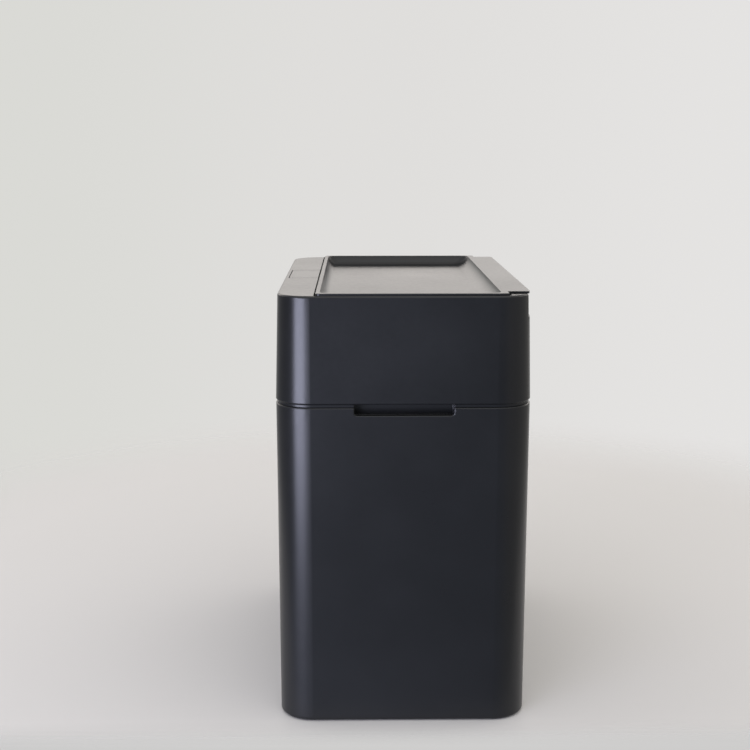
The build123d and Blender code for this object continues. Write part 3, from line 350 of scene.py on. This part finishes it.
def add_floor():
    """Pale floor that keeps the can's shadow and melts into the background further out."""
    bpy.ops.mesh.primitive_circle_add(vertices=FLOOR_SIDES, radius=FLOOR_RADIUS, fill_type="NGON")
    floor = bpy.context.object
    floor.name = "floor"
    look = Nodes("pale_floor")
    look.set(
        Base_Color=(*FLOOR_COLOUR, 1),
        Roughness=FLOOR_ROUGHNESS,
        Specular_IOR_Level=FLOOR_SPECULAR,
    )
    place = look.add("ShaderNodeTexCoord").outputs["Object"]
    offset = look.add("ShaderNodeVectorMath", operation="SUBTRACT")
    offset.inputs[1].default_value = (FLOOR_MIDDLE, 0, 0)
    look.link(place, offset.inputs[0])
    distance = look.add("ShaderNodeVectorMath", operation="LENGTH")
    look.link(offset.outputs["Vector"], distance.inputs[0])
    axes = look.add("ShaderNodeSeparateXYZ")
    look.link(place, axes.inputs["Vector"])
    far_fade = look.span(distance.outputs["Value"], FLOOR_FADE, WHOLE, "SMOOTHSTEP")
    front_fade = look.span(axes.outputs["X"], FLOOR_FRONT_FADE, WHOLE, "SMOOTHSTEP")
    clear = look.add("ShaderNodeBsdfTransparent")
    mix = look.add("ShaderNodeMixShader")
    look.link(look.combine(far_fade, front_fade, "MAXIMUM"), mix.inputs["Fac"])
    look.link(look.shader.outputs["BSDF"], mix.inputs[1])
    look.link(clear.outputs["BSDF"], mix.inputs[2])
    look.link(mix.outputs["Shader"], look.output.inputs["Surface"])
    floor.data.materials.append(look.material)


def moulded_plastic(name, colour, roughness, grain_depth, edge):
    """Satin plastic with a fine moulded grain, uneven gloss, a trace of dust and softened edges."""
    look = Nodes(name)
    look.set(IOR=PLASTIC_IOR)
    grain = look.noise(*PLASTIC_GRAIN)
    waves = look.noise(*PLASTIC_WAVES)
    patches = look.noise(*PLASTIC_PATCHES)
    specks = look.noise(*PLASTIC_SPECKS)
    dusty = tuple(min(1.0, PLASTIC_DUST_GAIN * channel + PLASTIC_DUST_LIFT) for channel in colour)
    dust = look.span(patches, PLASTIC_DUST_SPAN, WHOLE)
    look.link(look.blend(dust, colour, dusty), look.shader.inputs["Base Color"])
    patch_gloss = (roughness - PLASTIC_PATCH_GLOSS, roughness + PLASTIC_PATCH_GLOSS)
    speck_gloss = (-PLASTIC_SPECK_GLOSS, PLASTIC_SPECK_GLOSS)
    gloss = look.combine(
        look.span(patches, MOST_OF_NOISE, patch_gloss),
        look.span(specks, MOST_OF_NOISE, speck_gloss),
    )
    look.link(gloss, look.shader.inputs["Roughness"])
    look.relief([(waves, PLASTIC_WAVE_DEPTH), (grain, grain_depth)], edge)
    return look.material


def drawn_steel():
    """Bright steel with fine streaks along X and patches of duller surface."""
    look = Nodes("steel")
    look.set(Base_Color=(*STEEL_COLOUR, 1), Metallic=1.0)
    streaks = look.noise(*STEEL_STREAKS, STEEL_STRETCH)
    patches = look.noise(*STEEL_PATCHES)
    gloss = look.combine(
        look.span(streaks, MOST_OF_NOISE, STEEL_STREAK_ROUGHNESS),
        look.span(patches, MOST_OF_NOISE, STEEL_PATCH_ROUGHNESS),
    )
    look.link(gloss, look.shader.inputs["Roughness"])
    look.relief([(streaks, STEEL_STREAK_DEPTH)], STEEL_EDGE)
    return look.material


def soft_rubber():
    """Matt black rubber with dust in patches."""
    look = Nodes("rubber")
    grain = look.noise(*RUBBER_GRAIN)
    dust = look.noise(*RUBBER_DUST)
    colour = look.blend(look.span(dust, RUBBER_DUST_SPAN, WHOLE), RUBBER_COLOUR, RUBBER_DUST_COLOUR)
    look.link(colour, look.shader.inputs["Base Color"])
    look.link(look.span(dust, MOST_OF_NOISE, RUBBER_ROUGHNESS), look.shader.inputs["Roughness"])
    look.relief([(grain, RUBBER_GRAIN_DEPTH)], RUBBER_EDGE)
    return look.material


def finish_nodes():
    """Gives each CAD node the finish of its slot, and the two large mouldings softer edges of their own."""

    def body_plastic(name, edge):
        return moulded_plastic(name, BODY_COLOUR, BODY_ROUGHNESS, BODY_GRAIN_DEPTH, edge)

    slot_finishes = {
        "body_plastic": body_plastic("body_plastic", BODY_EDGE),
        "trim_plastic": body_plastic("trim_plastic", BODY_EDGE),
        "mechanism_plastic": moulded_plastic(
            "mechanism_plastic",
            MECHANISM_COLOUR,
            MECHANISM_ROUGHNESS,
            MECHANISM_GRAIN_DEPTH,
            MECHANISM_EDGE,
        ),
        "steel": drawn_steel(),
        "rubber": soft_rubber(),
    }
    node_finishes = {
        "body_bucket": body_plastic("bucket_plastic", BUCKET_EDGE),
        "upper_casing": body_plastic("casing_plastic", CASING_EDGE),
    }
    for part in frame["record"]["subparts"]:
        mesh = nodes[part["node"]].data
        mesh.materials.clear()
        mesh.materials.append(node_finishes.get(part["node"], slot_finishes[part["material_slot"]]))


def rim_loop(shape, top):
    """Vertices round the hole in the lid's top, in order."""
    open_edges = [
        edge for edge in shape.edges
        if edge.is_boundary and all(abs(vert.co.z - top) < SLACK for vert in edge.verts)
    ]
    first = open_edges[0].verts[0]
    loop = [first]
    used = set()
    while True:
        ahead = [edge for edge in loop[-1].link_edges if edge in open_edges and edge not in used]
        if not ahead:
            break
        used.add(ahead[0])
        following = ahead[0].other_vert(loop[-1])
        if following is first:
            break
        loop.append(following)
    return loop


def tray_rings(loop, top):
    """Points of each ring from the rim down to the tray's floor, one for each vertex of the rim."""
    middle = (min(vert.co.y for vert in loop) + max(vert.co.y for vert in loop)) / 2
    step_run, step_depth = TRAY_STEP
    start, end = (math.radians(angle) for angle in TRAY_COVE_ANGLES)
    levels = [(0.0, step_depth)]
    for count in range(1, TRAY_COVE_RINGS + 1):
        angle = start + (end - start) * count / TRAY_COVE_RINGS
        share = 1 - math.cos(angle) / math.cos(start)
        fall = (math.sin(angle) - math.sin(start)) / (1 - math.sin(start))
        levels.append((share, step_depth + (TRAY_DEPTH - step_depth) * fall))
    rings = []
    for share, drop in levels:
        ring = []
        for vert in loop:
            along = math.copysign(step_run + TRAY_END_RUN * share, vert.co.x)
            if vert.co.y < middle:
                across = -step_run - TRAY_FRONT_RUN * share
            else:
                across = step_run + TRAY_REAR_RUN * share
            ring.append((vert.co.x - along, vert.co.y - across, top - drop))
        rings.append(ring)
    return rings


def clear_tray(shape, top):
    """Deletes the tray's floor and its sloped walls."""
    floor = top - TRAY_DEPTH
    wall_levels = {0.0, round(TRAY_DEPTH, LEVEL_DIGITS)}
    raised = [face for face in shape.faces if face.normal.z > UPWARD]
    walls = [
        face for face in raised
        if {round(vert.co.z - floor, LEVEL_DIGITS) for vert in face.verts} == wall_levels
    ]
    corners = [vert.co for face in walls for vert in face.verts]
    slack = Vector((SLACK, SLACK, SLACK))
    low = Vector((min(place.x for place in corners), min(place.y for place in corners), floor)) - slack
    high = Vector((max(place.x for place in corners), max(place.y for place in corners), top)) + slack
    old = [
        face for face in raised
        if min(vert.co.z for vert in face.verts) < top - SLACK
        and all(low[axis] < vert.co[axis] < high[axis] for vert in face.verts for axis in range(3))
    ]
    bmesh.ops.delete(shape, geom=old, context="FACES")


def cove_tray():
    """Lid as in the CAD, but with a cove all round its tray instead of flat sloped walls."""
    lid = bpy.data.objects.new("coved_lid", nodes["lid_panel"].data.copy())
    scene.collection.objects.link(lid)
    shape = bmesh.new()
    shape.from_mesh(lid.data)
    bmesh.ops.remove_doubles(shape, verts=shape.verts, dist=MERGE_DISTANCE)
    top = max(vert.co.z for vert in shape.verts)
    clear_tray(shape, top)
    upper = rim_loop(shape, top)
    for ring in tray_rings(upper, top):
        lower = [shape.verts.new(point) for point in ring]
        for here in range(len(ring)):
            ahead = (here + 1) % len(ring)
            shape.faces.new((upper[here], upper[ahead], lower[ahead], lower[here]))
        upper = lower
    shape.faces.new(upper)
    bmesh.ops.recalc_face_normals(shape, faces=shape.faces)
    for face in shape.faces:
        face.smooth = True
    shape.to_mesh(lid.data)
    shape.free()
    lid.data.attributes.remove(lid.data.attributes["custom_normal"])
    lid.data.set_sharp_from_angle(angle=math.radians(SHARP_ANGLE))
    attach(lid, "lid")
    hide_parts("lid_panel")


def squeeze_springs():
    """Copies of the pedal's and the latch's spring, each with a mesh of its own, attached to its body in
    place of the CAD node.
    """
    for node, body, joint, seat, travel in SQUEEZED_SPRINGS:
        spring = bpy.data.objects.new(f"{node}_live", nodes[node].data.copy())
        scene.collection.objects.link(spring)
        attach(spring, body)
        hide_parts(node)
        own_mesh(spring)


add_world()
add_floor()
add_window()
add_camera()
finish_nodes()
cove_tray()
squeeze_springs()
